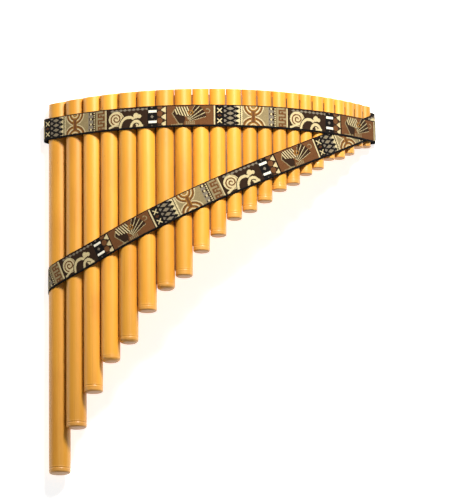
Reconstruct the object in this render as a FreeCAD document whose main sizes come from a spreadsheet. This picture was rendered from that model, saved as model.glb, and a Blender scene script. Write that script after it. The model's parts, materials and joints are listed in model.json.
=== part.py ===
# A curved pan flute of 22 cane pipes, glued side by side into an arch and bound with two ribbons.
#
# Frame: millimetres. The flute lies on the hollow side of its arch, as on a table.
# +X runs from the long pipes to the short ones, +Y along the pipes towards their mouths, +Z up.
# The origin is under the middle of the bounding box, on the surface that the flute lies on.
import FreeCAD, Part
import copy
import math
import os
import Sketcher

V = FreeCAD.Vector
EVEN = 1e-4     # two directions closer than this, in radians, are one

# ---------------------------------------------------------------------------------------------
# Driving dimensions
# ---------------------------------------------------------------------------------------------

# The cutting list, longest pipe first: overall length and outside diameter of each cane.
PIPES = (
    (430.0, 24.6), (381.0, 23.2), (343.0, 21.9), (310.5, 21.8), (291.0, 21.7), (256.0, 21.5),
    (232.5, 20.8), (218.0, 19.8), (190.0, 18.9), (171.5, 18.4), (152.0, 17.6), (142.5, 17.2),
    (130.5, 17.4), (116.0, 17.0), (107.5, 16.1), (94.5, 15.5), (86.0, 15.2), (73.0, 15.0),
    (69.5, 14.5), (62.5, 14.1), (52.0, 13.8), (49.0, 13.2),
)

# Every other size, with what it measures. All of them go into the spreadsheet.
SIZES = (
    ("arch_radius", 251.0, "from the arch's centre to the pipes' axes"),
    ("glue_gap", 0.3, "between two neighbouring pipes"),
    ("wall_least", 1.1, "wall of the thinnest cane, before its share"),
    ("wall_share", 0.055, "more wall for each millimetre of outside diameter"),
    ("foot_thickness", 5.0, "closed end of a pipe, its natural knot"),
    ("foot_round", 0.2, "rounding of the closed end, share of the diameter"),
    ("ring_height", 6.5, "knot's ring above the closed end"),
    ("ring_depth", 0.35, "depth of the ring's groove"),
    ("ring_half", 0.8, "half the height of the ring's groove"),
    ("knot_taper", 0.8, "bore radius at the knot, share of the main bore"),
    ("wax_share", 0.55, "height of the tuning wax, share of the diameter"),
    ("lip_slope", 15.0, "angle of the bevel on the front lip, degrees"),
    ("bead_depth", 3.0, "half the depth of a glue bead, front to back"),
    ("bead_inset", 8.0, "glue bead's end short of the mouths and of the closed ends"),
    ("ribbon_width", 25.4, "both ribbons"),
    ("ribbon_gap", 0.1, "glue film between the ribbons and the canes"),
    ("top_thickness", 1.4, "ribbon round the mouths, with its backing"),
    ("slant_thickness", 0.8, "slanting ribbon"),
    ("end_fold", 4.5, "how far the ribbons' folds stand clear of the two end pipes"),
    ("tail_rise", 0.22, "climb of the slanting ribbon's right end on the hollow side"),
    ("relief", 0.1, "room round the slanting ribbon, under the other one"),
    ("top_centre", 33.6, "middle of the top ribbon below the mouths"),
    ("top_rise", 0.006, "rise of the top ribbon for each millimetre along the arch"),
    ("slant_centre", 119.8, "middle of the slanting ribbon below the mouths, at the crown"),
    ("slant_rise", 0.458, "rise of the slanting ribbon for each millimetre along the arch"),
)


def new_sheet(doc):
    """The spreadsheet that holds every driving dimension under a plain alias."""
    sheet = doc.addObject("Spreadsheet::Sheet", "sizes")
    sheet.Label = "sizes"
    rows = list(SIZES)
    for number, (length, outer) in enumerate(PIPES, 1):
        rows.append((f"length_{number:02d}", length, f"overall length of pipe {number}"))
        rows.append((f"outer_{number:02d}", outer, f"outside diameter of pipe {number}"))
    for row, (alias, value, meaning) in enumerate(rows, 1):
        sheet.set(f"A{row}", meaning)
        sheet.set(f"B{row}", str(value))
        sheet.setAlias(f"B{row}", alias)
    doc.recompute()
    return sheet


# ---------------------------------------------------------------------------------------------
# Where each pipe stands on the arch
# ---------------------------------------------------------------------------------------------

class Arch:
    """Axis of every pipe in the XZ plane, with the sizes that the other pieces share."""

    def __init__(self, sheet):
        self.count = len(PIPES)
        self.radius = sheet.arch_radius
        self.outer = [getattr(sheet, f"outer_{k + 1:02d}") / 2 for k in range(self.count)]
        self.length = [getattr(sheet, f"length_{k + 1:02d}") for k in range(self.count)]
        self.bed = sheet.ribbon_gap + sheet.top_thickness
        self.mouth_y = self.length[0] / 2

        # Neighbours stand a glue gap apart on the arc, so each step is a chord of it.
        lean = [0.0]
        for k in range(1, self.count):
            chord = self.outer[k - 1] + self.outer[k] + sheet.glue_gap
            lean.append(lean[-1] + 2 * math.asin(chord / (2 * self.radius)))
        # The arch is turned until both end pipes lie on the surface.
        span = lean[-1]
        drop = (self.outer[0] - self.outer[-1]) / (2 * self.radius * math.sin(span / 2))
        start = math.asin(drop) - span / 2
        self.lean = [angle + start for angle in lean]

        # Height of the arch's centre, and the shift that puts the box's middle at X = 0.
        self.centre_z = self.bed + self.outer[0] - self.radius * math.cos(self.lean[0])
        left = self.radius * math.sin(self.lean[0]) - self.outer[0]
        right = self.radius * math.sin(self.lean[-1]) + self.outer[-1]
        self.centre_x = -(left + right) / 2
        self.axis = [V(self.centre_x + self.radius * math.sin(angle), 0,
                       self.centre_z + self.radius * math.cos(angle)) for angle in self.lean]

    def with_folds(self, room, ends):
        """The same arch with a ribbon's fold beside an end pipe (-1 for pipe 1, 1 for the last).

        A fold is a narrower round that touches the line over the two end pipes and the surface
        that the flute lies on. It stands clear of the end pipe by the room.
        """
        axes, widths = list(self.axis), list(self.outer)
        for side in ends:
            end, other = (0, 1) if side < 0 else (-1, -2)
            step = (self.axis[other] - self.axis[end]) * -side
            lean = (self.outer[other] - self.outer[end]) * -side / step.Length
            along = V(step).normalize()
            front = along * -lean + V(-along.z, 0, along.x) * math.sqrt(1 - lean ** 2)
            reach = (1 + front.z) / abs(front.x)
            narrower = room / (reach - 1)
            axis = self.axis[end] + V(side * reach, 0, -1) * narrower
            axes.insert(0 if side < 0 else len(axes), axis)
            widths.insert(0 if side < 0 else len(widths), self.outer[end] - narrower)
        wrapped = copy.copy(self)
        wrapped.axis, wrapped.outer, wrapped.count = axes, widths, len(axes)
        return wrapped

    def placement(self, number):
        """Foot of a pipe on its axis, with the pipe's own +Z turned to the front of the arch."""
        k = number - 1
        foot = V(self.axis[k].x, self.mouth_y - self.length[k], self.axis[k].z)
        return FreeCAD.Placement(foot, FreeCAD.Rotation(V(0, 1, 0), math.degrees(self.lean[k])))


# ---------------------------------------------------------------------------------------------
# Canes and wax
# ---------------------------------------------------------------------------------------------

def plane_of(body, role):
    """One of a body's own origin planes."""
    return next(item for item in body.Origin.OriginFeatures if item.Role == role)


def make_pipe(doc, arch, number):
    """One cane: closed by its own knot at the foot, open at the mouth, bevelled on the front lip."""
    name = f"pipe_{number:02d}"
    outer = f"sizes.outer_{number:02d}"
    length = f"sizes.length_{number:02d}"
    bore = f"({outer} / 2 - sizes.wall_least - sizes.wall_share * {outer})"
    sheet = doc.getObject("sizes")
    wide = arch.outer[number - 1]
    tall = arch.length[number - 1]
    inner = wide - sheet.wall_least - sheet.wall_share * 2 * wide
    edge = sheet.foot_round * 2 * wide
    wax_top = sheet.foot_thickness + sheet.wax_share * 2 * wide

    body = doc.addObject("PartDesign::Body", name)
    body.Label = name
    sketch = body.newObject("Sketcher::SketchObject", name + "_section")
    sketch.AttachmentSupport = [(plane_of(body, "XY_Plane"), "")]
    sketch.MapMode = "FlatFace"

    # Half section, from the middle of the foot round the outside and back down the bore.
    corners = [V(0, 0, 0), V(wide - edge, 0, 0), V(wide, edge, 0),
               V(wide, sheet.ring_height - sheet.ring_half, 0),
               V(wide - sheet.ring_depth, sheet.ring_height, 0),
               V(wide, sheet.ring_height + sheet.ring_half, 0),
               V(wide, tall, 0), V(inner, tall, 0), V(inner, wax_top, 0),
               V(inner * sheet.knot_taper, sheet.foot_thickness, 0), V(0, sheet.foot_thickness, 0)]
    round_edge = 1
    edges = [Part.LineSegment(a, b) for a, b in zip(corners, corners[1:] + corners[:1])]
    edges[round_edge] = Part.ArcOfCircle(
        Part.Circle(V(wide - edge, edge, 0), V(0, 0, 1), edge), -math.pi / 2, 0)
    sketch.addGeometry(edges, False)

    origin, start, end = -1, 1, 2
    rules = [Sketcher.Constraint("Coincident", 0, start, origin, 1)]
    for k in range(2, len(edges)):
        rules.append(Sketcher.Constraint("Coincident", k, end, (k + 1) % len(edges), start))
    rules.append(Sketcher.Constraint("Tangent", 0, end, round_edge, start))
    rules.append(Sketcher.Constraint("Tangent", round_edge, end, 2, start))
    rules += [Sketcher.Constraint("Horizontal", k) for k in (0, 6, 9)]
    rules += [Sketcher.Constraint("Vertical", k) for k in (2, 5, 7, 10)]
    sketch.addConstraint(rules)

    # Each size of the section follows the sheet: what it is, its edge and end, and its formula.
    radius = f"{outer} / 2"
    ring = "sizes.ring_height"
    sizes = (
        ("outside", "DistanceX", 2, end, wide, radius),
        ("ring_low", "DistanceY", 2, end, corners[3].y, f"{ring} - sizes.ring_half"),
        ("ring_bottom", "DistanceX", 3, end, corners[4].x, f"{radius} - sizes.ring_depth"),
        ("ring_middle", "DistanceY", 3, end, corners[4].y, ring),
        ("ring_edge", "DistanceX", 4, end, corners[5].x, radius),
        ("ring_high", "DistanceY", 4, end, corners[5].y, f"{ring} + sizes.ring_half"),
        ("overall", "DistanceY", 5, end, tall, length),
        ("bore", "DistanceX", 6, end, inner, bore),
        ("wax_line", "DistanceY", 7, end, wax_top,
         f"sizes.foot_thickness + sizes.wax_share * {outer}"),
        ("knot_bore", "DistanceX", 8, end, corners[9].x, f"{bore} * sizes.knot_taper"),
        ("floor", "DistanceY", 8, end, corners[9].y, "sizes.foot_thickness"),
    )
    for label, kind, edge_index, point, value, formula in sizes:
        index = sketch.addConstraint(Sketcher.Constraint(kind, origin, 1, edge_index, point, value))
        sketch.renameConstraint(index, label)
        sketch.setExpression(f"Constraints.{label}", formula)
    index = sketch.addConstraint(Sketcher.Constraint("Radius", round_edge, edge))
    sketch.renameConstraint(index, "foot_edge")
    sketch.setExpression("Constraints.foot_edge", f"sizes.foot_round * {outer}")

    cane = body.newObject("PartDesign::Revolution", name + "_cane")
    cane.Profile = sketch
    cane.ReferenceAxis = (sketch, ["V_Axis"])
    cane.Angle = 360
    doc.recompute()
    make_lip(doc, body, name, wide, tall)
    body.Placement = arch.placement(number)
    return body


def make_lip(doc, body, name, wide, tall):
    """The sloping cut that lowers the front half of a pipe's rim."""
    sheet = doc.getObject("sizes")
    outer = f"sizes.outer_{name[-2:]}"
    reach = 1.5 * wide
    fall = reach * math.tan(math.radians(sheet.lip_slope))
    sketch = body.newObject("Sketcher::SketchObject", name + "_lip")
    sketch.AttachmentSupport = [(plane_of(body, "YZ_Plane"), "")]
    sketch.MapMode = "FlatFace"

    # On this plane the sketch's X runs along the pipe and its Y to the front.
    corners = [V(tall, 0, 0), V(tall, reach, 0), V(tall - fall, reach, 0)]
    edges = [Part.LineSegment(a, b) for a, b in zip(corners, corners[1:] + corners[:1])]
    sketch.addGeometry(edges, False)
    sketch.addConstraint([Sketcher.Constraint("Coincident", k, 2, (k + 1) % 3, 1) for k in range(3)])
    sketch.addConstraint(Sketcher.Constraint("PointOnObject", 0, 1, -1))
    sketch.addConstraint(Sketcher.Constraint("Vertical", 0))
    sketch.addConstraint(Sketcher.Constraint("Horizontal", 1))
    slope = math.radians(sheet.lip_slope)
    sizes = (
        ("rim", Sketcher.Constraint("DistanceX", -1, 1, 0, 1, tall), f"sizes.length_{name[-2:]}"),
        ("reach", Sketcher.Constraint("DistanceY", 0, 1, 0, 2, reach), f"{outer} * 0.75"),
        ("slope", Sketcher.Constraint("Angle", 0, 1, 2, 2, slope), "sizes.lip_slope * 1 deg"),
    )
    for label, rule, formula in sizes:
        sketch.renameConstraint(sketch.addConstraint(rule), label)
        sketch.setExpression(f"Constraints.{label}", formula)

    whole = body.Shape.Volume
    cut = body.newObject("PartDesign::Pocket", name + "_bevel")
    cut.Profile = sketch
    cut.Midplane = True
    cut.Type = 0
    cut.setExpression("Length", f"{outer} * 2")
    doc.recompute()
    if not 0 < body.Shape.Volume < whole:
        raise RuntimeError(f"the bevel of {name} cuts nothing")


def make_wax(doc, arch, number):
    """The tuning wax pressed onto a pipe's knot, filling the narrowing end of the bore."""
    name = f"wax_{number:02d}"
    outer = f"sizes.outer_{number:02d}"
    bore = f"({outer} / 2 - sizes.wall_least - sizes.wall_share * {outer})"
    wax = doc.addObject("Part::Cone", name)
    wax.Label = name
    wax.setExpression("Radius1", f"{bore} * sizes.knot_taper")
    wax.setExpression("Radius2", bore)
    wax.setExpression("Height", f"sizes.wax_share * {outer}")
    along_pipe = FreeCAD.Rotation(V(1, 0, 0), -90)
    knot = V(0, doc.getObject("sizes").foot_thickness, 0)
    wax.Placement = arch.placement(number).multiply(FreeCAD.Placement(knot, along_pipe))
    return wax


# ---------------------------------------------------------------------------------------------
# Glue
# ---------------------------------------------------------------------------------------------

def cane_side(centre, radius, along, front, side, depth):
    """Narrow flats that touch a cane beside its neighbour, from the back to the front."""
    flats = 6
    half_angle = math.asin(depth / radius)
    step = 2 * half_angle / flats
    corner = radius / math.cos(step / 2)
    points = []
    for k in range(flats + 1):
        angle = -half_angle + k * step
        points.append(centre + along * (side * corner * math.cos(angle))
                      + front * (corner * math.sin(angle)))
    return points


def glue_bead(arch, sheet, k):
    """Hourglass bead in the groove between pipe k and the next, bounded by the two canes."""
    a, b = arch.axis[k], arch.axis[k + 1]
    along = (b - a).normalize()
    front = V(-along.z, 0, along.x)
    left = cane_side(a, arch.outer[k], along, front, 1, sheet.bead_depth)
    right = cane_side(b, arch.outer[k + 1], along, front, -1, sheet.bead_depth)
    low = arch.mouth_y - arch.length[k + 1] + sheet.bead_inset
    high = arch.mouth_y - sheet.bead_inset
    outline = Part.makePolygon(left + right[::-1] + left[:1])
    outline.translate(V(0, low, 0))
    return Part.Face(outline).extrude(V(0, high - low, 0))


def make_glue(doc, arch):
    """All the glue beads, one for each pair of neighbours."""
    sheet = doc.getObject("sizes")
    beads = [glue_bead(arch, sheet, k) for k in range(arch.count - 1)]
    glue = doc.addObject("Part::Feature", "glue_seams")
    glue.Label = "glue_seams"
    glue.Shape = Part.makeCompound(beads)
    glue.Placement = FreeCAD.Placement()
    return glue


# ---------------------------------------------------------------------------------------------
# Ribbons
# ---------------------------------------------------------------------------------------------

def touch_direction(arch, k, side):
    """Direction from the axes of pipes k and k + 1 to the line that touches both.

    Side is 1 for the front of the arch and -1 for its back.
    """
    step = arch.axis[k + 1] - arch.axis[k]
    along = V(step).normalize()
    lean = (arch.outer[k] - arch.outer[k + 1]) / step.Length
    return along * lean + V(-along.z, 0, along.x) * (side * math.sqrt(1 - lean ** 2))


def end_direction(arch, k):
    """Direction from an end fold's axis away from its neighbour."""
    other = 1 if k == 0 else arch.count - 2
    return (arch.axis[k] - arch.axis[other]).normalize()


def point_at(arch, k, offset, direction):
    """Point at the offset from pipe k's surface, in a direction from its axis."""
    return arch.axis[k] + V(direction).normalize() * (arch.outer[k] + offset)


def front_edges(arch, offset):
    """From the first to the last: straight over the grooves, curved over each front crown."""
    edges = []
    for k in range(arch.count - 1):
        touch = touch_direction(arch, k, 1)
        if k > 0:
            before = touch_direction(arch, k - 1, 1)
        if k > 0 and before.getAngle(touch) > EVEN:
            edges.append(Part.Arc(point_at(arch, k, offset, before),
                                  point_at(arch, k, offset, before + touch),
                                  point_at(arch, k, offset, touch)).toShape())
        edges.append(Part.makeLine(point_at(arch, k, offset, touch),
                                   point_at(arch, k + 1, offset, touch)))
    return edges


def back_corner(arch, k, offset):
    """Corner of the back run at an inner pipe, where two touching lines meet."""
    fold = touch_direction(arch, k - 1, -1) + touch_direction(arch, k, -1)
    return arch.axis[k] + fold * (2 * (arch.outer[k] + offset) / fold.Length ** 2)


def back_points(arch, offset):
    """From the last to the first along the hollow side, pressed onto each back crown."""
    last = arch.count - 1
    corners = [back_corner(arch, k, offset) for k in range(last - 1, 0, -1)]
    first = point_at(arch, last, offset, touch_direction(arch, last - 1, -1))
    return [first] + corners + [point_at(arch, 0, offset, touch_direction(arch, 0, -1))]


def end_arc(arch, k, offset, from_direction, to_direction):
    """Round the outside of an end fold."""
    return Part.Arc(point_at(arch, k, offset, from_direction),
                    point_at(arch, k, offset, end_direction(arch, k)),
                    point_at(arch, k, offset, to_direction)).toShape()


def loop_face(arch, offset):
    """Everything inside a closed loop round all the pipes, at an offset from them."""
    last = arch.count - 1
    back = back_points(arch, offset)
    edges = front_edges(arch, offset)
    edges.append(end_arc(arch, last, offset, touch_direction(arch, last - 1, 1),
                         touch_direction(arch, last - 1, -1)))
    edges += [Part.makeLine(a, b) for a, b in zip(back, back[1:])]
    edges.append(end_arc(arch, 0, offset, touch_direction(arch, 0, -1),
                         touch_direction(arch, 0, 1)))
    return Part.Face(Part.Wire(edges))


def loop_tube(arch, inner, outer):
    """A loop of cloth round all the pipes, as tall as the longest of them."""
    ring = loop_face(arch, outer).cut(loop_face(arch, inner))
    ring.translate(V(0, -arch.mouth_y, 0))
    return ring.extrude(V(0, arch.length[0], 0))


def strip_slab(arch, low, high, centre, rise, width):
    """The space between a ribbon's two edges, seen from above, between two heights.

    The ribbon's middle is centre below the mouths at the crown of the arch, and climbs by rise
    for each millimetre along the arch's front.
    """
    front = arch.radius + sum(arch.outer) / arch.count
    half = width / 2 * math.sqrt(1 + rise ** 2)
    margin = 1.0
    left = arch.axis[0].x - arch.outer[0] - 2 * margin
    right = arch.axis[-1].x + arch.outer[-1] + 2 * margin
    stations = 9

    def edge_curve(shift):
        points = []
        for k in range(stations):
            x = left + (right - left) * k / (stations - 1)
            along = front * math.asin((x - arch.centre_x) / front)
            points.append(V(x, arch.mouth_y - centre + rise * along + shift, low))
        curve = Part.BSplineCurve()
        curve.interpolate(points)
        return curve.toShape()

    lower, upper = edge_curve(-half), edge_curve(half)
    sides = [Part.makeLine(lower.Vertexes[k].Point, upper.Vertexes[k].Point) for k in (0, 1)]
    outline = Part.Wire(Part.__sortEdges__([lower, sides[1], upper, sides[0]]))
    return Part.Face(outline).extrude(V(0, 0, high - low))


def turned_end(arch, sheet, width, from_x, to_x, rise):
    """Outline, seen from above, of an end of the slanting ribbon on the hollow side.

    It starts at the fold at from_x, level with the front run there, and goes back to to_x.
    """
    half = width / 2 * math.sqrt(1 + sheet.slant_rise ** 2)
    crown = arch.radius + sum(arch.outer) / arch.count
    along = crown * math.asin((from_x - arch.centre_x) / crown)
    middle = arch.mouth_y - sheet.slant_centre + sheet.slant_rise * along
    climb = rise * abs(to_x - from_x)
    corners = [V(from_x, middle - half, 0), V(to_x, middle + climb - half, 0),
               V(to_x, middle + climb + half, 0), V(from_x, middle + half, 0)]
    return Part.Face(Part.makePolygon(corners + corners[:1]))


def slant_solid(arch, sheet, room):
    """The slanting ribbon, grown by some room on every side: its front run and its two ends.

    The front run crosses from pipe 1's flank to the fold beside the last pipe. The left end turns
    in level and is glued to the back of pipe 2. The right end keeps climbing and is glued to the
    back of the last but one pipe.
    """
    tube = loop_tube(arch, sheet.ribbon_gap - room, sheet.ribbon_gap + sheet.slant_thickness + room)
    width = sheet.ribbon_width + 2 * room
    top = arch.centre_z + arch.radius + arch.outer[0] * 2
    front = tube.common(strip_slab(arch, 0, top, sheet.slant_centre, sheet.slant_rise, width))
    # Only the part on the front side of the arch's centre line, and above the flanks, stays.
    inside = Part.makeCylinder(arch.radius, arch.length[0] * 2,
                               V(arch.centre_x, -arch.length[0], arch.centre_z), V(0, 1, 0))
    front = front.cut(inside)
    ends = []
    deep = 2 * arch.radius
    for side, end, last, rise in ((-1, 0, 1, 0), (1, -1, arch.count - 3, sheet.tail_rise)):
        flank = arch.axis[end].z
        corner = V(min(0, side * deep), -arch.length[0], flank - deep)
        front = front.cut(Part.makeBox(deep, arch.length[0] * 2, deep, corner))
        fold = arch.axis[end].x + side * (arch.outer[end] + 1)
        outline = turned_end(arch, sheet, width, fold, back_corner(arch, last, 0).x, rise)
        ends.append(tube.common(outline.extrude(V(0, 0, flank))))
    return [front] + ends


def make_slant_ribbon(doc, arch):
    """The ribbon that crosses the front at a slant."""
    front, left, right = slant_solid(arch, doc.getObject("sizes"), 0)
    ribbon = doc.addObject("Part::Feature", "diagonal_ribbon")
    ribbon.Label = "diagonal_ribbon"
    ribbon.Shape = front.fuse([left, right]).removeSplitter()
    ribbon.Placement = FreeCAD.Placement()
    return ribbon


def make_top_ribbon(doc, arch, slant_arch):
    """The ribbon round all the pipes, over the slanting one, below the mouths."""
    sheet = doc.getObject("sizes")
    tube = loop_tube(arch, sheet.ribbon_gap, sheet.ribbon_gap + sheet.top_thickness)
    top = arch.centre_z + arch.radius + arch.outer[0] * 2
    band = tube.common(strip_slab(arch, -1, top, sheet.top_centre, sheet.top_rise,
                                  sheet.ribbon_width))
    for piece in slant_solid(slant_arch, sheet, sheet.relief):
        band = band.cut(piece)
    ribbon = doc.addObject("Part::Feature", "top_ribbon")
    ribbon.Label = "top_ribbon"
    ribbon.Shape = band.removeSplitter()
    ribbon.Placement = FreeCAD.Placement()
    return ribbon


# ---------------------------------------------------------------------------------------------
# The whole flute
# ---------------------------------------------------------------------------------------------

def check(doc, pieces):
    """Stops before anything is written if an object failed or a shape is unusable."""
    for item in doc.Objects:
        if "Invalid" in item.State or "Error" in item.State:
            raise RuntimeError(f"{item.Name} did not compute: {item.State}")
    for piece in pieces:
        if piece.Shape.isNull() or not piece.Shape.isValid() or not piece.Shape.Solids:
            raise RuntimeError(f"{piece.Label} has no valid solid")


def main():
    doc = FreeCAD.newDocument("pan_flute")
    arch = Arch(new_sheet(doc))
    numbers = range(1, arch.count + 1)
    pieces = [make_pipe(doc, arch, number) for number in numbers]
    pieces += [make_wax(doc, arch, number) for number in numbers]
    pieces.append(make_glue(doc, arch))
    room = doc.getObject("sizes").end_fold
    slant_arch = arch.with_folds(room, (1,))
    pieces.append(make_slant_ribbon(doc, slant_arch))
    pieces.append(make_top_ribbon(doc, arch.with_folds(room, (-1, 1)), slant_arch))
    doc.recompute()
    check(doc, pieces)

    os.makedirs("parts", exist_ok=True)
    for piece in pieces:
        piece.Shape.exportStep(f"parts/{piece.Label}.step")
    whole = Part.makeCompound([piece.Shape for piece in pieces]).BoundBox
    print(f"{len(pieces)} pieces, {whole.XLength:.1f} x {whole.YLength:.1f} x {whole.ZLength:.1f} mm")
    print(f"box from ({whole.XMin:.2f}, {whole.YMin:.2f}, {whole.ZMin:.2f}) mm")
    for piece in pieces[-3:]:
        solids = len(piece.Shape.Solids)
        print(f"{piece.Label}: {solids} solids, {piece.Shape.Volume / 1000:.2f} cm3")


main()
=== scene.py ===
import json
import math

import bpy
import numpy as np
from mathutils import Euler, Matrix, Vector


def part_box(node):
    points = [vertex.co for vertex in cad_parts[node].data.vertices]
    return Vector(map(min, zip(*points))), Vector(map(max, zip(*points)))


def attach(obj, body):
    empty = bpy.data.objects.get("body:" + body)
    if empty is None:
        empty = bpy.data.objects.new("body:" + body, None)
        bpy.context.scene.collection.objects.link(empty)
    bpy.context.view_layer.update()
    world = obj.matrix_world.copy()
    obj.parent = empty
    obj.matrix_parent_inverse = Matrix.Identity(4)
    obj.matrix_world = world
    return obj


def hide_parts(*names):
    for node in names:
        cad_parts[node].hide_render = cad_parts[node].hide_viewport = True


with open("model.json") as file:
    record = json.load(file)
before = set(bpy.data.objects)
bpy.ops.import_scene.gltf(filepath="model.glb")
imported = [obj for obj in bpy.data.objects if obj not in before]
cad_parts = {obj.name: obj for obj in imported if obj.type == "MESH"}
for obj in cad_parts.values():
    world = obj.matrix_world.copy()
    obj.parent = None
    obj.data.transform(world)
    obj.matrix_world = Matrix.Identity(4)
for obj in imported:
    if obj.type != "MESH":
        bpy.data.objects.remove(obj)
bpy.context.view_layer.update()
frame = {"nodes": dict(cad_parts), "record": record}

# A curved pan flute of 22 cane pipes, glued into an arch and bound with two woven ribbons. It lies
# on the hollow side of the arch, with the mouths towards +Y and the long pipes at -X.
#
# Lengths below are in millimetres; MM turns them into the scene's metres.
MM = 0.001

# ---------------------------------------------------------------------------------------------
# Sizes
# ---------------------------------------------------------------------------------------------

# Canes.
WALL_LEAST = 1.1            # the wall is this, plus a share of the outside diameter
WALL_SHARE = 0.055
LIP_SLOPE = math.radians(15)
LIP_REACH = 6.0             # the bevel's shear fades out over this much of the pipe
RIM_ROUND = 0.35
FOOT_THICKNESS = 5.0
KNOT_TAPER = 0.8
RING_HALF = 2.4             # half the height of the knot's ring, which lies on the foot
SWELL_FADE = 9.0            # the foot's taper fades out over about this height
AROUND = 72                 # points round a cane

# Ribbons.
RIBBON_WIDTH = 25.4
MIDDLE = RIBBON_WIDTH / 2
STITCH = 0.55               # one woven stitch, and one face of a ribbon's mesh
SELVEDGE_AND_SHADOW = (2.2, 1.2)       # the plain black edges, lower and upper; the lower one is wider, as it also paints the shadow under the ribbon's edge
RAISED = 0.07               # a coloured thread stands this far above the dark ground
RIBBON_SINK = 0.12          # the dark ground lies this far inside the ribbon's outer face
SLANT_FACES = (0.15, 0.8)   # the slanting ribbon's two faces, above the canes' crowns
TOP_FACES = (0.45, 1.0)     # the level ribbon's two faces, where nothing is under it
LIFT = 0.5                  # the level ribbon rises by this over the slanting one, and at its lap
LIFT_FADE = 3.0
LAP = 14.0                  # the level ribbon's end laps over its start, on the hollow side
END_FOLD = 4.6              # the ribbons' folds stand clear of the two end canes by this
TOP_DROP = 34.1             # from the mouths down to a ribbon's middle, at the arch's crown
SLANT_DROP = 118.3
RISE_DROP = 119.8           # the same, for the middle of the level ribbon's rise over the other
SLANT_ANGLE = math.atan(0.458)
TOP_SEAM = 150.0            # the level ribbon starts this far before the path's left end
LEFT_RISE = 5.5             # the slanting ribbon bends up by this towards the first cane
LEFT_TAIL, RIGHT_TAIL = 42.0, 24.0      # its two ends go this far on past the canes' outsides
TAIL_RISE = 0.22            # climb of its right end, on the hollow side

# The woven pattern: where it starts along each ribbon, and how much it is drawn together.
TOP_PATTERN = (-2.3, 1.0106)
SLANT_PATTERN = (-80.0, 1.0046)

# How bright each cane is drawn, longest first.
TONES = (0.84, 0.84, 1.04, 1.06, 0.86, 1.02, 0.84, 0.90, 1.05, 0.97, 1.00, 0.88, 0.88, 0.96,
         0.90, 1.00, 0.96, 1.02, 1.12, 0.84, 0.76, 0.74)
BLUNT = (4, 5, 7)           # pipes with a well rounded foot
RINGED = (1, 2, 3)          # pipes with a clear ring where the knot grew


# ---------------------------------------------------------------------------------------------
# The canes' places, from the record's bore mounts and the CAD boxes
# ---------------------------------------------------------------------------------------------

class Cane:
    """Where one pipe lies, in millimetres."""

    def __init__(self, mount):
        self.tag = mount["name"][-2:]
        self.number = int(self.tag)
        self.x, _, self.z = (value / MM for value in mount["pos_m"])
        self.bore = mount["dims"]["r_mm"]
        self.radius = (self.bore + WALL_LEAST) / (1 - 2 * WALL_SHARE)
        self.centre = np.array([self.x, self.z])
        low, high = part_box("pipe_" + self.tag)
        self.foot = low.y / MM
        self.mouth = high.y / MM
        self.wax_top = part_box("wax_" + self.tag)[1].y / MM


CANES = [Cane(mount) for mount in frame["record"]["mounts"] if mount["name"].startswith("mouth_")]
MOUTH = max(cane.mouth for cane in CANES)


def circle_centre(a, b, c):
    """Centre of the circle through three points in a plane."""
    chords = np.array([b - a, c - a]) * 2
    return np.linalg.solve(chords, [b @ b - a @ a, c @ c - a @ a])


# Middle of the arch, in the XZ plane.
ARCH = circle_centre(CANES[0].centre, CANES[len(CANES) // 2].centre, CANES[-1].centre)


# ---------------------------------------------------------------------------------------------
# Mesh helpers
# ---------------------------------------------------------------------------------------------

def new_object(name, points, faces):
    """A smooth mesh object from points in millimetres."""
    mesh = bpy.data.meshes.new(name)
    mesh.from_pydata((np.asarray(points) * MM).tolist(), [], faces)
    mesh.validate()
    mesh.polygons.foreach_set("use_smooth", [True] * len(mesh.polygons))
    piece = bpy.data.objects.new(name, mesh)
    bpy.context.scene.collection.objects.link(piece)
    return piece


def point_attribute(mesh, name, values):
    """A number at each point, for the material to read."""
    layer = mesh.attributes.new(name, "FLOAT", "POINT")
    layer.data.foreach_set("value", np.asarray(values, np.float32))


def smoothstep(low, high, value):
    """0 below low, 1 above high and an even curve between."""
    share = np.clip((value - low) / (high - low), 0, 1)
    return share * share * (3 - 2 * share)


# ---------------------------------------------------------------------------------------------
# Canes
# ---------------------------------------------------------------------------------------------

# The three surfaces of a cane.
SKIN, RIM, BORE = range(3)


def foot_rings(cane, rng):
    """Rings of a cane's foot, from its middle to just above the knot's ring."""
    blunt, ringed = cane.number in BLUNT, cane.number in RINGED
    edge = cane.radius * (rng.uniform(0.45, 0.6) if blunt else rng.uniform(0.16, 0.3))
    dome = rng.uniform(0.2, 0.5)
    ring = rng.uniform(5.4, 7.4)
    groove = rng.uniform(0.22, 0.34) if ringed else rng.uniform(0.02, 0.12)
    swell = rng.uniform(0.08, 0.18)
    rings = []
    for share in (0.3, 0.6, 0.85):
        rings.append(((cane.radius - edge) * share, dome * share ** 2 * 0.5, 0, SKIN))
    for k in range(9):
        turn = math.pi / 2 * k / 8
        out = cane.radius - swell - edge + edge * math.sin(turn)
        rings.append((out, dome * 0.5 + edge * 0.8 * (1 - math.cos(turn)), 0, SKIN))
    start = rings[-1][1]
    for step in np.linspace(-RING_HALF, RING_HALF, 17):
        height = ring + step
        if height > start + 0.2:
            dip = groove * math.exp(-(step / 0.55) ** 2)
            ridge = 0.12 * math.exp(-((abs(step) - 1.2) / 0.5) ** 2)
            rings.append((cane.radius - swell - dip + ridge, height, 0, SKIN))
    return rings, ring, swell


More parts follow.
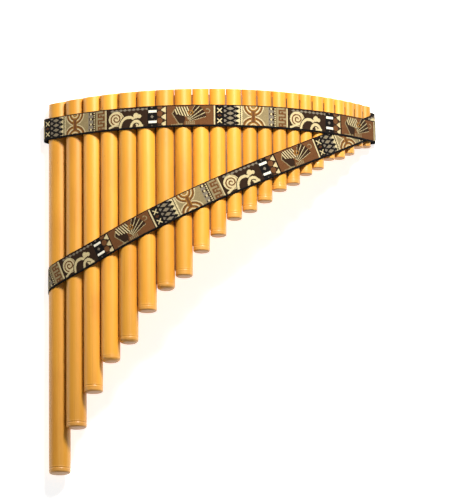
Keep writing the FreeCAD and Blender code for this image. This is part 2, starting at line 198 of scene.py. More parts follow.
def cane_profile(cane, rng):
    """Rings of a cane from the middle of its foot, up the outside, over the rim and down the bore.

    Each ring is (radius, distance from the foot, share of the lip's slope, surface).
    """
    radius, bore = cane.radius, cane.bore
    tall = cane.mouth - cane.foot
    rings, ring, swell = foot_rings(cane, rng)

    shaft_low, shaft_high = rings[-1][1], tall - LIP_REACH
    count = max(4, int((shaft_high - shaft_low) / 4))
    for k in range(1, count + 1):
        height = shaft_low + (shaft_high - shaft_low) * k / count
        taper = swell * math.exp(-(height - ring) / SWELL_FADE)
        rings.append((radius - taper, height, 0, SKIN))
    rim = tall - RIM_ROUND
    for k in range(1, 7):
        rings.append((radius, shaft_high + (rim - shaft_high) * k / 6, k / 6, SKIN))

    for k in range(1, 4):
        turn = math.pi / 2 * k / 3
        rings.append((radius - RIM_ROUND * (1 - math.cos(turn)),
                      tall - RIM_ROUND * (1 - math.sin(turn)), 1, RIM))
    for share in (0.35, 0.65):
        rings.append((radius - RIM_ROUND - (radius - bore - 2 * RIM_ROUND) * share, tall, 1, RIM))
    for k in range(4):
        turn = math.pi / 2 * k / 3
        rings.append((bore + RIM_ROUND * (1 - math.sin(turn)),
                      tall - RIM_ROUND * (1 - math.cos(turn)), 1, RIM if k < 2 else BORE))
    wax_line = cane.wax_top - cane.foot
    for k in range(1, 7):
        rings.append((bore, rim - (rim - wax_line) * k / 6, max(0.0, 1 - k / 2), BORE))
    rings.append((bore * KNOT_TAPER, FOOT_THICKNESS, 0, BORE))
    return rings


def make_cane(cane, rng):
    """One pipe: a grown tube, slightly uneven, with its knot's ring at the foot."""
    rings = cane_profile(cane, rng)
    out = cane.centre - ARCH
    out /= np.linalg.norm(out)
    side = np.array([out[1], -out[0]])
    angles = np.arange(AROUND) * 2 * math.pi / AROUND
    phases = rng.uniform(0, 2 * math.pi, 4)
    waves = rng.uniform(60, 140, 2)
    points, lift, surface = [], [], []
    for radius, height, slope, kind in rings:
        uneven = (0.05 * np.cos(2 * angles + phases[0] + height / waves[0])
                  + 0.03 * np.cos(3 * angles + phases[1] - height / waves[1]) - 0.08)
        if kind == BORE:
            uneven = uneven * 0
        reach = radius + uneven * min(1, radius / cane.radius)
        front = reach * np.cos(angles)
        fall = np.maximum(front, 0) * math.tan(LIP_SLOPE) * slope
        across = np.outer(front, out) + np.outer(reach * np.sin(angles), side)
        points.append(np.column_stack([cane.x + across[:, 0], cane.foot + height - fall,
                                       cane.z + across[:, 1]]))
        lift += [height] * AROUND
        surface += [kind] * AROUND
    ends = [[cane.x, cane.foot, cane.z], [cane.x, cane.foot + FOOT_THICKNESS, cane.z]]
    points = np.vstack(points + [ends])
    lift += [0, FOOT_THICKNESS]
    surface += [SKIN, BORE]
    faces = []
    for row in range(len(rings) - 1):
        for k in range(AROUND):
            after = (k + 1) % AROUND
            faces.append((row * AROUND + k, (row + 1) * AROUND + k,
                          (row + 1) * AROUND + after, row * AROUND + after))
    foot, knot = len(points) - 2, len(points) - 1
    last = (len(rings) - 1) * AROUND
    for k in range(AROUND):
        after = (k + 1) % AROUND
        faces.append((foot, k, after))
        faces.append((knot, last + after, last + k))
    piece = new_object("cane_" + cane.tag, points, faces)
    point_attribute(piece.data, "lift", np.array(lift) * MM)
    point_attribute(piece.data, "cut", np.clip(surface, 0, 1))
    point_attribute(piece.data, "bore", np.array(surface) == BORE)
    point_attribute(piece.data, "tone", [TONES[cane.number - 1]] * len(points))
    point_attribute(piece.data, "shift", [rng.uniform(0, 5)] * len(points))
    return piece


# ---------------------------------------------------------------------------------------------
# The ribbons' path round the canes
# ---------------------------------------------------------------------------------------------

class Round:
    """A circle that the ribbons pass round: a cane, or the fold that stands beside an end cane."""

    def __init__(self, centre, radius):
        self.centre = np.array(centre)
        self.radius = radius


def end_fold(end, other, side):
    """The fold beside an end cane: it touches the line over both canes, and the floor's level."""
    step = (other.centre - end.centre) * -side
    lean = (other.radius - end.radius) * -side / np.linalg.norm(step)
    along = step / np.linalg.norm(step)
    front = along * -lean + np.array([-along[1], along[0]]) * math.sqrt(1 - lean ** 2)
    reach = (1 + front[1]) / abs(front[0])
    narrower = END_FOLD / (reach - 1)
    return Round(end.centre + np.array([side * reach, -1]) * narrower, end.radius - narrower)


ROUNDS = ([end_fold(CANES[0], CANES[1], -1)] + [Round(cane.centre, cane.radius) for cane in CANES]
          + [end_fold(CANES[-1], CANES[-2], 1)])


def touch_direction(a, b, side):
    """Direction from the centres of two neighbouring rounds to the line that touches both."""
    step = b.centre - a.centre
    length = np.linalg.norm(step)
    along = step / length
    lean = (a.radius - b.radius) / length
    return along * lean + np.array([-along[1], along[0]]) * (side * math.sqrt(1 - lean ** 2))


def arc(about, start, end, through):
    """Short chords about a round from one direction to another, with the normals."""
    first = math.atan2(start[1], start[0])
    turn = (math.atan2(end[1], end[0]) - first) % (2 * math.pi)
    middle = (math.atan2(through[1], through[0]) - first) % (2 * math.pi)
    if middle > turn:
        turn -= 2 * math.pi
    if np.dot(start, end) > 1 - 1e-9:
        turn = 0.0
    steps = max(1, int(abs(turn) * about.radius / 0.4))
    angles = first + turn * np.arange(steps + 1) / steps
    normals = np.column_stack([np.cos(angles), np.sin(angles)])
    return about.centre + normals * about.radius, normals


class Path:
    """A closed line round all the canes, touching each crown.

    It starts at the outside of the first round, crosses the front, turns about the last one and
    comes back along the hollow side. Lengths are measured from the crown of the arch.
    """

    def __init__(self, rounds):
        last = len(rounds) - 1
        fore = [touch_direction(a, b, 1) for a, b in zip(rounds, rounds[1:])]
        back = [touch_direction(a, b, -1) for a, b in zip(rounds, rounds[1:])]
        left, right = np.array([-1.0, 0.0]), np.array([1.0, 0.0])
        pairs = [arc(rounds[0], left, fore[0], left + fore[0])]
        for k in range(1, last):
            pairs.append(arc(rounds[k], fore[k - 1], fore[k], fore[k - 1] + fore[k]))
        pairs.append(arc(rounds[last], fore[-1], back[-1], right))
        for k in range(last - 1, 0, -1):
            fold = back[k - 1] + back[k]
            corner = rounds[k].centre + fold * 2 * rounds[k].radius / (fold @ fold)
            pairs.append((corner[None], fold[None] / np.linalg.norm(fold)))
        pairs.append(arc(rounds[0], back[0], left, left + back[0]))
        self.points = np.vstack([pair[0] for pair in pairs])
        self.normals = np.vstack([pair[1] for pair in pairs])
        steps = np.linalg.norm(np.diff(self.points, axis=0), axis=1)
        self.run = np.concatenate([[0], np.cumsum(steps)])
        front = self.points[:, 1] > ARCH[1] + np.linalg.norm(CANES[0].centre - ARCH)
        off_crown = np.where(front, np.abs(self.points[:, 0] - ARCH[0]), np.inf)
        self.crown = self.run[np.argmin(off_crown)]
        self.left = -self.crown
        self.right = self.run[np.argmax(self.points[:, 0])] - self.crown
        self.total = self.run[-1]

    def at(self, along):
        """Points and normals at lengths from the crown; the loop repeats."""
        run = (np.asarray(along) + self.crown) % self.total
        point = np.stack([np.interp(run, self.run, self.points[:, k]) for k in (0, 1)], -1)
        normal = np.stack([np.interp(run, self.run, self.normals[:, k]) for k in (0, 1)], -1)
        return point, normal / np.linalg.norm(normal, axis=-1, keepdims=True)


TOP_PATH = Path(ROUNDS)
SLANT_PATH = Path(ROUNDS[1:])       # the slanting ribbon lies close round the first cane


# ---------------------------------------------------------------------------------------------
# The woven pattern: generic bands of Andean geometry, each drawn by a formula
# ---------------------------------------------------------------------------------------------

BLACK, EARTH, BROWN, GOLD, SAND, CREAM, ASH, WHITE = range(8)
PALETTE = np.array([(0.004, 0.003, 0.003), (0.028, 0.013, 0.006), (0.140, 0.056, 0.019),
                    (0.30, 0.135, 0.022), (0.27, 0.21, 0.105), (0.60, 0.50, 0.27),
                    (0.20, 0.17, 0.125), (0.88, 0.84, 0.70)])

# Each band below is drawn on its own ground: a runs along the ribbon from the band's start, b runs
# across it from its lower edge, and the result is a palette number for each stitch.


def repeat(value, period):
    """Distance from the nearest multiple of a period, with its sign."""
    return value - period * np.round(value / period)


def crosses(a, b, length):
    """Two pale crosses, with small lozenges between."""
    tone = np.full(a.shape, BLACK)
    u, v = np.abs(a - length / 2), np.abs(repeat(b - MIDDLE / 2 - 0.3, 12.0))
    tone[(np.abs(u - v) < 0.8) & (u < 2.9) & (v < 2.9)] = CREAM
    spot = u / 2.2 + np.abs(repeat(b - MIDDLE - 0.3, 12.0)) / 1.6
    tone[spot < 1] = BROWN
    tone[spot < 0.5] = BLACK
    return tone


def lattice(a, b, length):
    """A net of flat lozenges, with pale teeth at the end."""
    tone = np.full(a.shape, BLACK)
    u = a - length * 0.42
    middle = np.abs(u) / 4.6 + np.abs(repeat(b - MIDDLE - 2.8, 5.6)) / 2.1
    tone[middle < 1] = ASH
    tone[(middle < 1) & (middle > 0.35) & (middle < 0.62)] = SAND
    beside = np.abs(np.abs(u) - 6.3) / 3.0 + np.abs(repeat(b - MIDDLE, 5.6)) / 1.9
    tone[(beside < 0.9) & (np.abs(u) < 7.4)] = ASH
    tone[np.abs(repeat(b - MIDDLE, 5.6)) * 1.6 < a - length + 4.6] = CREAM
    return tone


def curls(a, b, length):
    """Four legs of nested bands that leave a narrow body in the middle."""
    tone = np.full(a.shape, SAND)
    edge = 2.6 + np.abs(repeat(b, 2.4)) * 0.7
    tone[a < edge] = CREAM
    tone[a < edge - 1.8] = BLACK
    u, v = np.abs(a - length * 0.47), b - MIDDLE - 0.6
    ring = np.where(v > 0, np.hypot(u, (v - 11.5) * 0.95), np.hypot(u * 0.86, (v + 13.6) * 0.95))
    rings = ((12.4, 11.3, CREAM), (11.3, 9.4, BROWN), (9.4, 8.5, GOLD), (8.5, 7.2, CREAM),
             (7.2, 5.6, BROWN), (5.6, 4.4, GOLD), (4.4, 3.2, CREAM), (3.2, 1.6, GOLD))
    for outer, inner, colour in rings:
        tone[(ring <= outer) & (ring > inner) & (a > 4)] = colour
    body = (u < 2.3 + 0.08 * np.abs(v)) & (np.abs(v + 0.5) < 5.5)
    tone[body] = BROWN
    tone[body & (np.abs(u - 2.0) < 0.5)] = GOLD
    return tone


def dots(a, b, length):
    """A column of grey blocks, and a column of small pale dots."""
    tone = np.full(a.shape, EARTH)
    pale = np.abs(a - length * 0.36) < 2.5
    tone[pale & (np.abs(repeat(b - 1.0, 6.1)) < 1.9)] = ASH
    tone[pale & (np.hypot(a - length * 0.36, repeat(b + 2.0, 6.1)) < 1.2)] = CREAM
    tone[(np.hypot(a - length * 0.82, repeat(b - MIDDLE, 2.5)) < 0.85)] = CREAM
    tone[a < 0.9] = ASH
    return tone


def key(a, b, length):
    """A meander of one brown line on a pale ground."""
    tone = np.full(a.shape, SAND)
    v = (b - 1.4) % 7.6
    rungs = (a > 2.6) & (a < length - 2.6) & ((v < 1.7) | ((v > 3.8) & (v < 5.5)))
    left = (a > 2.6) & (a < 4.3) & (v < 5.5)
    right = (a < length - 2.6) & (a > length - 4.3) & ((v < 1.7) | (v > 3.8))
    inner = (np.abs(a - length / 2) < 1.0) & (v > 1.7) & (v < 3.4)
    tone[rungs | left | right | inner] = BROWN
    tone[a > length - 1.2] = CREAM
    return tone


def scroll(a, b, length):
    """A spiral and two arches on a dark ground, under a row of peaks."""
    tone = np.full(a.shape, EARTH)
    # The spiral's tail runs down to the left.
    u, v = a - 12.0, b - 13.0
    reach, turn = np.hypot(u, v * 1.05), np.arctan2(v, u)
    coil = (reach / 3.7 - turn / (2 * math.pi)) % 1
    tone[(reach < 9.2)] = CREAM
    tone[(coil < 0.45) & (reach < 8.2) & (reach > 0.8)] = BROWN
    tone[(np.abs((v + 9.0) - (u + 6.0) * 0.42) < 1.3) & (a > 2.5) & (a < 18)] = CREAM
    # The second arch stands in front of the first, with two knobs on it.
    for middle, outer, inner in ((27.0, 14.6, 11.4), (36.0, 9.6, 6.2)):
        reach = np.hypot((a - middle) * 1.25, b - 1.0)
        tone[(reach < outer + 1.2) & (reach > inner - 1.2)] = EARTH
        tone[(reach < outer) & (reach > inner)] = CREAM
    tone[(np.hypot(a - 36.0, b - 15.4) < 3.2) & (b > 12)] = CREAM
    tone[(np.hypot(a - 40.0, b - 14.4) < 2.2)] = CREAM
    tone[(np.abs(a - 41.5) < 2.6) & (np.abs(b - 3.0) < 1.5)] = CREAM
    peaks = np.abs(repeat(a - 2.0, 5.2)) / 2.6 + np.abs(b - 22.4) / 1.5
    tone[(peaks < 1) & (tone == EARTH) & (a > 5)] = ASH
    return tone


def bars(a, b, length):
    """Two white bars, with grey lozenges between."""
    tone = np.full(a.shape, BLACK)
    v = np.abs(b - MIDDLE - 0.3)
    tone[(np.abs(v - 6.0) < 1.25) & (a > 1.0) & (a < length - 0.6)] = WHITE
    spot = np.abs(a - length * 0.48) / 1.9 + np.abs(repeat(b - MIDDLE - 0.3, 12.0)) / 2.2
    tone[spot < 1] = ASH
    return tone


def wedges(a, b, length):
    """Three pale wedges that point back at brown discs."""
    tone = np.full(a.shape, EARTH)
    v = repeat(b - MIDDLE + 0.6, 8.2)
    tone[np.hypot((a - 3.2) * 1.05, repeat(b - MIDDLE - 3.4, 8.2)) < 3.3] = BROWN
    point = a - 5.0
    tone[(point > 0) & (a < length - 1.4) & (np.abs(v) < 0.4 + point * 0.62)] = CREAM
    tone[a > length - 1.0] = BLACK
    return tone


def fan(a, b, length):
    """A brown ground with a dark wedge, a comb of pale teeth and a sheaf of pale rays."""
    tone = np.full(a.shape, BROWN)
    wedge = (a > 6.0 + np.abs(b - 15.5) * 0.62) & (a < 21.0 - np.abs(b - 9.0) * 0.35) & (b < 22)
    tone[wedge] = EARTH
    edge = a - 6.0 - np.abs(b - 15.5) * 0.62
    tone[(np.abs(edge) < 0.55) & (b < 22) & (b > 2.0)] = SAND
    comb = (a > 9) & (a < 25) & (b > 15.0 - (a - 9) * 0.25) & (b < 23)
    tone[comb] = EARTH
    tone[comb & (np.abs(repeat(a * 0.92 + b * 0.38, 2.7)) < 0.62)] = CREAM
    u, v = a - 19.0, b - 4.0
    reach, turn = np.hypot(u, v), np.degrees(np.arctan2(v, u))
    sheaf = (turn > 16) & (turn < 58) & (reach > 7) & (reach < 27)
    tone[sheaf] = EARTH
    tone[sheaf & (np.abs(repeat(turn - 16, 10.5)) * reach < 19)] = CREAM
    loop = np.hypot((a - 27.0), (b - 16.5) * 1.2)
    tone[(np.abs(loop - 2.8) < 0.6)] = GOLD
    patch = (np.abs(a - 26.0) < 5.5) & (np.abs(b - 4.2) < 2.6)
    tone[patch & (np.hypot(repeat(a, 2.2), repeat(b, 1.8)) < 0.75)] = SAND
    curl = np.hypot(a - 46.0, (b - 18.0) * 1.1)
    tone[(np.abs(curl - 2.6) < 0.5) & (a > 44.5)] = SAND
    foot = (np.abs(b - 2.6 - (a - 6) * 0.04) < 0.8) & (a > 4) & (a < 18)
    tone[foot & (np.abs(repeat(a, 1.8)) < 0.6)] = SAND
    return tone


def line(a, b, length):
    """One pale line."""
    tone = np.full(a.shape, EARTH)
    tone[np.abs(a - length / 2) < 0.9] = CREAM
    return tone


# What follows what along a ribbon, and how long each band is.
BANDS = ((crosses, 8.6), (lattice, 18.8), (curls, 33.7), (dots, 9.5), (key, 14.0),
         (scroll, 49.3), (bars, 11.0), (wedges, 11.5), (fan, 52.5), (line, 3.1))
REPEAT = sum(length for _, length in BANDS)


def woven(along, across):
    """Palette numbers for stitches at a length along the ribbon and a height across it."""
    tone = np.full(along.shape, BLACK)
    place = along % REPEAT
    start = 0.0
    for motif, length in BANDS:
        here = (place >= start) & (place < start + length)
        tone[here] = motif(place[here] - start, across[here], length)
        start += length
    # The black edges; the lower one is widened with painted shadow under the ribbon's edge.
    tone[(across < SELVEDGE_AND_SHADOW[0]) | (across > RIBBON_WIDTH - SELVEDGE_AND_SHADOW[1])] = BLACK
    return tone


# ---------------------------------------------------------------------------------------------
# Ribbons
# ---------------------------------------------------------------------------------------------

def strip_faces(rows, wide, thin):
    """Faces of a closed strip: the woven face first, one for each stitch, then the rest.

    The woven face has wide points in each row and the face against the canes has thin points.
    """
    base = (rows + 1) * wide
    faces = []
    for i in range(rows):
        for j in range(wide - 1):
            corner = i * wide + j
            faces.append((corner, corner + 1, corner + wide + 1, corner + wide))
    for i in range(rows):
        for j in range(thin - 1):
            corner = base + i * thin + j
            faces.append((corner, corner + thin, corner + thin + 1, corner + 1))
        left, left_low = i * wide, base + i * thin
        faces.append((left, left + wide, left_low + thin, left_low))
        right, right_low = left + wide - 1, left_low + thin - 1
        faces.append((right, right_low, right_low + thin, right + wide))
    for i, order in ((0, 1), (rows, -1)):
        rim = [i * wide + j for j in range(wide)]
        low = [base + i * thin + j for j in range(thin)]
        faces.append(tuple((low + rim[::-1])[::order]))
    return faces


def colour_stitches(mesh, tone, rng):
    """One colour for each stitch; the rest of the strip is the black ground."""
    jitter = rng.uniform(0.82, 1.12, (tone.size, 1))
    colour = np.tile(PALETTE[BLACK], (len(mesh.polygons), 1))
    colour[:tone.size] = PALETTE[tone.reshape(-1)] * jitter
    counts = np.zeros(len(mesh.polygons), int)
    mesh.polygons.foreach_get("loop_total", counts)
    corners = np.repeat(np.column_stack([colour, np.ones(len(colour))]), counts, axis=0)
    layer = mesh.color_attributes.new("stitch", "FLOAT_COLOR", "CORNER")
    layer.data.foreach_set("color", corners.astype(np.float32).ravel())


def thread_map(mesh, flat):
    """Each point's place on the flat ribbon, in millimetres, as a UV map."""
    index = np.zeros(len(mesh.loops), int)
    mesh.loops.foreach_get("vertex_index", index)
    weave = mesh.uv_layers.new(name="weave")
    weave.data.foreach_set("uv", flat[index].astype(np.float32).ravel())


def stitch_relief(t, across, tone):
    """How far the woven face stands above its ground: raised threads and rolled edges."""
    relief = np.zeros(t.shape)
    rows, columns = tone.shape
    for di in (0, 1):
        for dj in (0, 1):
            relief[di:di + rows, dj:dj + columns] += np.where(tone > EARTH, RAISED, 0.0) / 4
    edge = np.minimum(across, RIBBON_WIDTH - across)[None, :]
    ripple = 0.05 * np.exp(-(edge / 0.9) ** 2) * np.sin(t * 2 * math.pi / (5 * STITCH))
    return relief + ripple - RIBBON_SINK * np.exp(-(edge / 0.35) ** 2)


def ribbon_mesh(name, path, ends, place, pattern, rng):
    """A woven strip between two lengths along itself.

    place(t, w) gives the run along the path, the height and both faces for a point at length t
    along the strip and w above its middle line.
    """
    columns = int(round(RIBBON_WIDTH / STITCH))
    across = np.linspace(0, RIBBON_WIDTH, columns + 1)
    rows = int((ends[1] - ends[0]) / STITCH)
    along = np.linspace(ends[0], ends[1], rows + 1)
    t, w = np.meshgrid(along, across - MIDDLE, indexing="ij")
    run, height, under, over = place(t, w)

    start, drawn = pattern
    t_mid = (t[1:, 1:] + t[:-1, :-1]) / 2
    w_mid = (w[1:, 1:] + w[:-1, :-1]) / 2 + MIDDLE
    tone = woven((t_mid - start) * drawn, w_mid)
    over = over - RIBBON_SINK + stitch_relief(t, across, tone)

    def lay(run, height, offset):
        point, normal = path.at(run)
        spot = point + normal * offset[..., None]
        return np.stack([spot[..., 0], height, spot[..., 1]], -1).reshape(-1, 3)

    pick = np.linspace(0, columns, 5).round().astype(int)
    points = np.vstack([lay(run, height, over),
                        lay(run[:, pick], height[:, pick], under[:, pick])])
    flat = np.vstack([np.stack([t, w], -1).reshape(-1, 2),
                      np.stack([t[:, pick], w[:, pick]], -1).reshape(-1, 2)])
    piece = new_object(name, points, strip_faces(rows, columns + 1, len(pick)))
    colour_stitches(piece.data, tone, rng)
    thread_map(piece.data, flat)
    return piece


# Both ribbons' ends, as lengths along themselves.
TOP_START = TOP_PATH.left - TOP_SEAM
TOP_END = TOP_START + TOP_PATH.total + LAP
SLANT_START = (SLANT_PATH.left - LEFT_TAIL) / math.cos(SLANT_ANGLE)
SLANT_END = (SLANT_PATH.right + RIGHT_TAIL) / math.cos(SLANT_ANGLE)


def slant_place(t, w):
    """The slanting ribbon climbs from the first cane, under the level one, round the last cane."""
    climb = math.tan(SLANT_ANGLE)
    run = t * math.cos(SLANT_ANGLE) - w * math.sin(SLANT_ANGLE)
    height = MOUTH - SLANT_DROP + t * math.sin(SLANT_ANGLE) + w * math.cos(SLANT_ANGLE)
    height = height + LEFT_RISE * smoothstep(140, 210, -run)
    # The end that turns in at the left runs level, and the one at the right climbs less.
    height = height + np.maximum(SLANT_PATH.left - run, 0) * climb
    height = height - np.maximum(run - SLANT_PATH.right - 10, 0) * (climb - TAIL_RISE)
    under, over = SLANT_FACES
    return run, height, np.full(t.shape, under), np.full(t.shape, over)


def top_place(t, w):
    """The level ribbon bows up a little at both ends, and rises over the slanting one."""
    point, _ = TOP_PATH.at(t)
    sideways = (point[..., 0] - ARCH[0]) / 180
    height = MOUTH - TOP_DROP + 0.9 * sideways + 2.2 * sideways ** 2 + w
    from_slant = ((height - MOUTH + RISE_DROP) * math.cos(SLANT_ANGLE)
                  - t * math.sin(SLANT_ANGLE))
    crossing = 1 - smoothstep(0.3, LIFT_FADE, np.abs(from_slant) - MIDDLE)
    crossing = crossing * (t > 0) * (1 - smoothstep(26, 34, t - SLANT_PATH.right))
    lap = smoothstep(TOP_END - LAP - 4, TOP_END - LAP, t)
    rise = LIFT * (crossing + lap)
    under, over = TOP_FACES
    return t, height, under + rise, over + rise


def make_ribbons(rng):
    """Both ribbons."""
    top = ribbon_mesh("woven_top_ribbon", TOP_PATH, (TOP_START, TOP_END), top_place,
                      TOP_PATTERN, rng)
    slant = ribbon_mesh("woven_slant_ribbon", SLANT_PATH, (SLANT_START, SLANT_END), slant_place,
                        SLANT_PATTERN, rng)
    return top, slant


# ---------------------------------------------------------------------------------------------
# Materials
# ---------------------------------------------------------------------------------------------

class Nodes:
    """Short hand for building one material's nodes."""

    def __init__(self, name):
        self.material = bpy.data.materials.new(name)
        self.material.use_nodes = True
        self.tree = self.material.node_tree
        self.shader = self.tree.nodes["Principled BSDF"]

    def add(self, kind, inputs=None, **settings):
        node = self.tree.nodes.new(kind)
        for setting, value in settings.items():
            setattr(node, setting, value)
        for socket, value in (inputs or {}).items():
            self.put(node.inputs[socket], value)
        return node

    def put(self, socket, value):
        if isinstance(value, bpy.types.NodeSocket):
            self.tree.links.new(value, socket)
        else:
            socket.default_value = value

    def attribute(self, name, output="Fac"):
        return self.add("ShaderNodeAttribute", attribute_name=name).outputs[output]

    def math(self, operation, a, b=0.5, c=0.5):
        node = self.add("ShaderNodeMath", operation=operation)
        for socket, value in zip(node.inputs, (a, b, c)):
            self.put(socket, value)
        return node.outputs[0]

    def mix(self, share, a, b):
        node = self.add("ShaderNodeMix", data_type="RGBA")
        self.put(node.inputs[0], share)
        for socket, value in ((node.inputs[6], a), (node.inputs[7], b)):
            if not isinstance(value, bpy.types.NodeSocket) and len(value) == 3:
                value = (*value, 1)
            self.put(socket, value)
        return node.outputs[2]

    def ramp(self, value, low, high):
        node = self.add("ShaderNodeMapRange", {"Value": value, "From Min": low, "From Max": high},
                        interpolation_type="SMOOTHSTEP")
        return node.outputs[0]

    def stretched(self, scale, shift=None):
        """Object coordinates, scaled, and moved by an attribute."""
        place = self.add("ShaderNodeTexCoord").outputs["Object"]
        if shift is not None:
            move = self.add("ShaderNodeCombineXYZ", {"X": shift, "Y": shift, "Z": shift})
            place = self.add("ShaderNodeVectorMath", {0: place, 1: move.outputs[0]},
                             operation="ADD").outputs[0]
        node = self.add("ShaderNodeVectorMath", {0: place, 1: scale}, operation="MULTIPLY")
        return node.outputs[0]

    def noise(self, place, detail=3.0, rough=0.55):
        node = self.add("ShaderNodeTexNoise",
                        {"Vector": place, "Scale": 1.0, "Detail": detail, "Roughness": rough})
        return node.outputs["Fac"]

    def bump(self, height, distance, strength=1.0, normal=None):
        node = self.add("ShaderNodeBump",
                        {"Height": height, "Distance": distance, "Strength": strength})
        if normal is not None:
            self.put(node.inputs["Normal"], normal)
        return node.outputs[0]


def cane_material():
    """Sun-bleached cane under a thin satin varnish."""
    n = Nodes("cane_skin")
    tone, shift = n.attribute("tone"), n.attribute("shift")
    fibres = n.noise(n.stretched((1100, 9, 1100), shift), 4, 0.6)
    streaks = n.noise(n.stretched((260, 5, 260), shift), 3)
    clouds = n.noise(n.stretched((26, 11, 26), shift), 2)
    base = n.mix(n.ramp(clouds, 0.3, 0.7), (0.80, 0.365, 0.038), (0.77, 0.340, 0.034))
    base = n.mix(n.math("MULTIPLY", n.ramp(clouds, 0.45, 0.75), 0.50), base, (0.62, 0.25, 0.026))
    base = n.mix(n.math("MULTIPLY", n.ramp(streaks, 0.5, 0.75), 0.40), base, (0.86, 0.45, 0.070))
    base = n.mix(n.math("MULTIPLY", n.ramp(fibres, 0.52, 0.72), 0.35), base, (0.50, 0.20, 0.022))
    base = n.add("ShaderNodeVectorMath", {0: base, "Scale": tone}, operation="SCALE").outputs[0]
    # Small dark flecks that follow the grain.
    cells = n.add("ShaderNodeTexVoronoi", {"Vector": n.stretched((420, 70, 420), shift),
                                           "Scale": 1.0})
    fleck = n.math("MULTIPLY", n.ramp(cells.outputs["Distance"], 0.13, 0.04),
                   n.ramp(clouds, 0.5, 0.62))
    base = n.mix(n.math("MULTIPLY", fleck, 0.6), base, (0.30, 0.12, 0.03))
    # The foot: a warmer, duller end, and painted shade that darkens its face and lowest 1.6 mm to
    # brown.
    lift = n.attribute("lift")
    end = n.ramp(lift, 0.010, 0.004)
    base = n.mix(n.math("MULTIPLY", end, 0.45), base, (0.68, 0.34, 0.09))
    # Painted shade on the foot's face, which is turned away from the key lamp.
    under = n.ramp(lift, 0.0016, 0.0)
    base = n.mix(n.math("MULTIPLY", under, 0.7), base, (0.34, 0.16, 0.05))
    # The cut rim shows pale end grain with dark pores, and the bore is matt straw.
    pores = n.add("ShaderNodeTexVoronoi",
                  {"Vector": n.stretched((2600, 2600, 2600)), "Scale": 1.0})
    grain = n.mix(n.ramp(pores.outputs["Distance"], 0.45, 0.15),
                  (0.80, 0.58, 0.27), (0.34, 0.19, 0.07))
    base = n.mix(n.attribute("cut"), base, grain)
    base = n.mix(n.attribute("bore"), base, (0.52, 0.33, 0.13))
    n.put(n.shader.inputs["Base Color"], base)
    matt = n.math("MULTIPLY_ADD", n.attribute("cut"), 0.3, 0.33)
    n.put(n.shader.inputs["Roughness"], n.math("ADD", n.math("MULTIPLY", streaks, 0.18), matt))
    n.shader.inputs["Coat Weight"].default_value = 0.05
    n.shader.inputs["Coat Roughness"].default_value = 0.22
    soft = n.bump(streaks, 0.00012, 0.6)
    n.put(n.shader.inputs["Normal"], n.bump(fibres, 0.00005, 0.7, soft))
    return n.material


def ribbon_material():
    """Jacquard: one colour for each stitch, with its threads and painted shade between them."""
    n = Nodes("woven_jacquard")
    colour = n.attribute("stitch", "Color")
    weave = n.add("ShaderNodeUVMap", uv_map="weave").outputs[0]
    split = n.add("ShaderNodeSeparateXYZ", {0: weave})
    along = n.math("SINE", n.math("MULTIPLY", split.outputs["X"], 2 * math.pi / STITCH))
    twill = n.math("SINE", n.math("MULTIPLY",
                                  n.math("ADD", split.outputs["X"], split.outputs["Y"]),
                                  math.pi / STITCH))
    ribs = n.math("SINE", n.math("MULTIPLY", split.outputs["Y"], 2 * math.pi / STITCH))
    thread = n.math("ADD", n.math("MULTIPLY", along, 0.5), n.math("MULTIPLY", ribs, 0.5))
    thread = n.math("ADD", thread, n.math("MULTIPLY", twill, 0.35))
    fuzz = n.noise(n.stretched((2500, 2500, 2500)), 2)
    # Painted shade: each stitch's colour is darkened in the grooves between its threads, and
    # mottled by fuzz.
    shade = n.math("MULTIPLY_ADD", n.ramp(thread, -1.2, 1.0), 0.35, 0.72)
    shade = n.math("MULTIPLY", shade, n.math("MULTIPLY_ADD", fuzz, 0.3, 0.85))
    dark = n.add("ShaderNodeVectorMath", {0: colour, "Scale": shade}, operation="SCALE")
    n.put(n.shader.inputs["Base Color"], dark.outputs[0])
    n.shader.inputs["Roughness"].default_value = 0.82
    n.shader.inputs["Specular IOR Level"].default_value = 0.12
    n.put(n.shader.inputs["Normal"], n.bump(thread, 0.00006, 0.8))
    return n.material


def wax_material():
    """Mottled tuning wax."""
    n = Nodes("beeswax")
    mottle = n.noise(n.stretched((220, 220, 220)), 3)
    n.put(n.shader.inputs["Base Color"],
          n.mix(n.ramp(mottle, 0.35, 0.7), (0.50, 0.27, 0.07), (0.66, 0.42, 0.14)))
    n.shader.inputs["Roughness"].default_value = 0.55
    n.put(n.shader.inputs["Normal"], n.bump(mottle, 0.0004))
    return n.material


def glue_material():
    """Dark, streaky glue."""
    n = Nodes("amber_glue")
    streak = n.noise(n.stretched((300, 40, 300)), 3)
    n.put(n.shader.inputs["Base Color"],
          n.mix(n.ramp(streak, 0.35, 0.7), (0.085, 0.030, 0.008), (0.20, 0.075, 0.018)))
    n.put(n.shader.inputs["Roughness"], n.math("MULTIPLY_ADD", streak, 0.25, 0.3))
    n.put(n.shader.inputs["Normal"], n.bump(streak, 0.0003))
    return n.material


def floor_material():
    """A nearly white floor that glows a little, so the shadow on it stays soft."""
    n = Nodes("studio_floor")
    haze = n.noise(n.stretched((3, 3, 3)), 2)
    n.put(n.shader.inputs["Base Color"], n.mix(haze, (0.91, 0.91, 0.90), (0.93, 0.93, 0.925)))
    n.shader.inputs["Roughness"].default_value = 0.9
    n.shader.inputs["Specular IOR Level"].default_value = 0.1
    n.shader.inputs["Emission Color"].default_value = (1, 1, 1, 1)
    n.shader.inputs["Emission Strength"].default_value = 0.75
    return n.material


def dress(node, material):
    """A CAD node keeps its shape and gets a material."""
    mesh = frame["nodes"][node].data
    if mesh.materials:
        for k in range(len(mesh.materials)):
            mesh.materials[k] = material
    else:
        mesh.materials.append(material)


# ---------------------------------------------------------------------------------------------
# Building the flute
# ---------------------------------------------------------------------------------------------

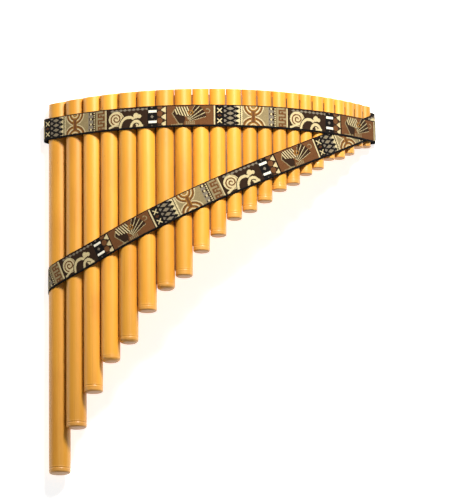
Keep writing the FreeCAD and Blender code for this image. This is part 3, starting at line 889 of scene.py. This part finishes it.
def build_flute():
    """The canes and the ribbons are made anew; the wax and the glue keep their CAD shapes."""
    rng = np.random.default_rng(22)
    skin = cane_material()
    for cane in CANES:
        piece = make_cane(cane, rng)
        piece.data.materials.append(skin)
        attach(piece, "root")
        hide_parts("pipe_" + cane.tag)
    cloth = ribbon_material()
    top, slant = make_ribbons(rng)
    for piece, node in ((top, "top_ribbon"), (slant, "diagonal_ribbon")):
        piece.data.materials.append(cloth)
        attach(piece, "root")
        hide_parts(node)
    wax = wax_material()
    for cane in CANES:
        dress("wax_" + cane.tag, wax)
    dress("glue_seams", glue_material())


# ---------------------------------------------------------------------------------------------
# Studio
# ---------------------------------------------------------------------------------------------

# What the camera and the lamps look at: millimetres from the arch's middle, below the mouths and
# above the floor.
ASIDE, BELOW, ABOVE = 22.7, 175.5, 31.5
TARGET = Vector(((ARCH[0] + ASIDE) * MM, (MOUTH - BELOW) * MM, ABOVE * MM))

# The camera, with its distance in metres and its lens as a multiple of the sensor's width.
TILT, TURN, ROLL = math.radians(13.06), math.radians(-3.35), math.radians(-0.50)
DISTANCE = 5.562
SENSOR = 36.0
LENS = 9.832

WORLD_LIGHT = 0.13


def make_floor():
    """A wide floor at z = 0."""
    reach = 6.0
    corners = [(-reach, -reach, 0), (reach, -reach, 0), (reach, reach, 0), (-reach, reach, 0)]
    mesh = bpy.data.meshes.new("floor")
    mesh.from_pydata(corners, [], [(0, 1, 2, 3)])
    floor = bpy.data.objects.new("floor", mesh)
    bpy.context.scene.collection.objects.link(floor)
    floor.data.materials.append(floor_material())


def area_light(name, place, size, power, tint=(1, 1, 1)):
    """A round lamp at a place measured from the target, in metres, and turned towards it."""
    light = bpy.data.lights.new(name, "AREA")
    light.shape = "DISK"
    light.size = size
    light.energy = power
    light.color = tint
    lamp = bpy.data.objects.new(name, light)
    lamp.location = TARGET + Vector(place)
    lamp.rotation_euler = (-Vector(place)).to_track_quat("-Z", "Y").to_euler()
    bpy.context.scene.collection.objects.link(lamp)


def make_lights():
    """A warm key lamp near the mouths, a weak wide fill, and a dim white world."""
    area_light("key", (0.15, 0.68, 0.78), 0.30, 20.5, (1, 0.96, 0.90))
    area_light("fill", (-0.6, -0.5, 2.2), 1.4, 3)
    world = bpy.data.worlds.new("studio")
    world.use_nodes = True
    background = world.node_tree.nodes["Background"]
    background.inputs["Color"].default_value = (1, 1, 1, 1)
    background.inputs["Strength"].default_value = WORLD_LIGHT
    bpy.context.scene.world = world


def make_camera():
    """Almost straight down on the lying flute, from beyond the feet of the pipes."""
    camera = bpy.data.cameras.new("camera")
    camera.sensor_width = SENSOR
    camera.lens = SENSOR * LENS
    camera.clip_end = 100
    seat = bpy.data.objects.new("camera", camera)
    turned = Euler((TILT, TURN, ROLL), "ZXY").to_matrix()
    seat.rotation_euler = turned.to_euler()
    seat.location = TARGET + turned @ Vector((0, 0, DISTANCE))
    bpy.context.scene.collection.objects.link(seat)
    bpy.context.scene.camera = seat


build_flute()
make_floor()
make_lights()
make_camera()
bpy.context.scene.view_settings.view_transform = "Standard"
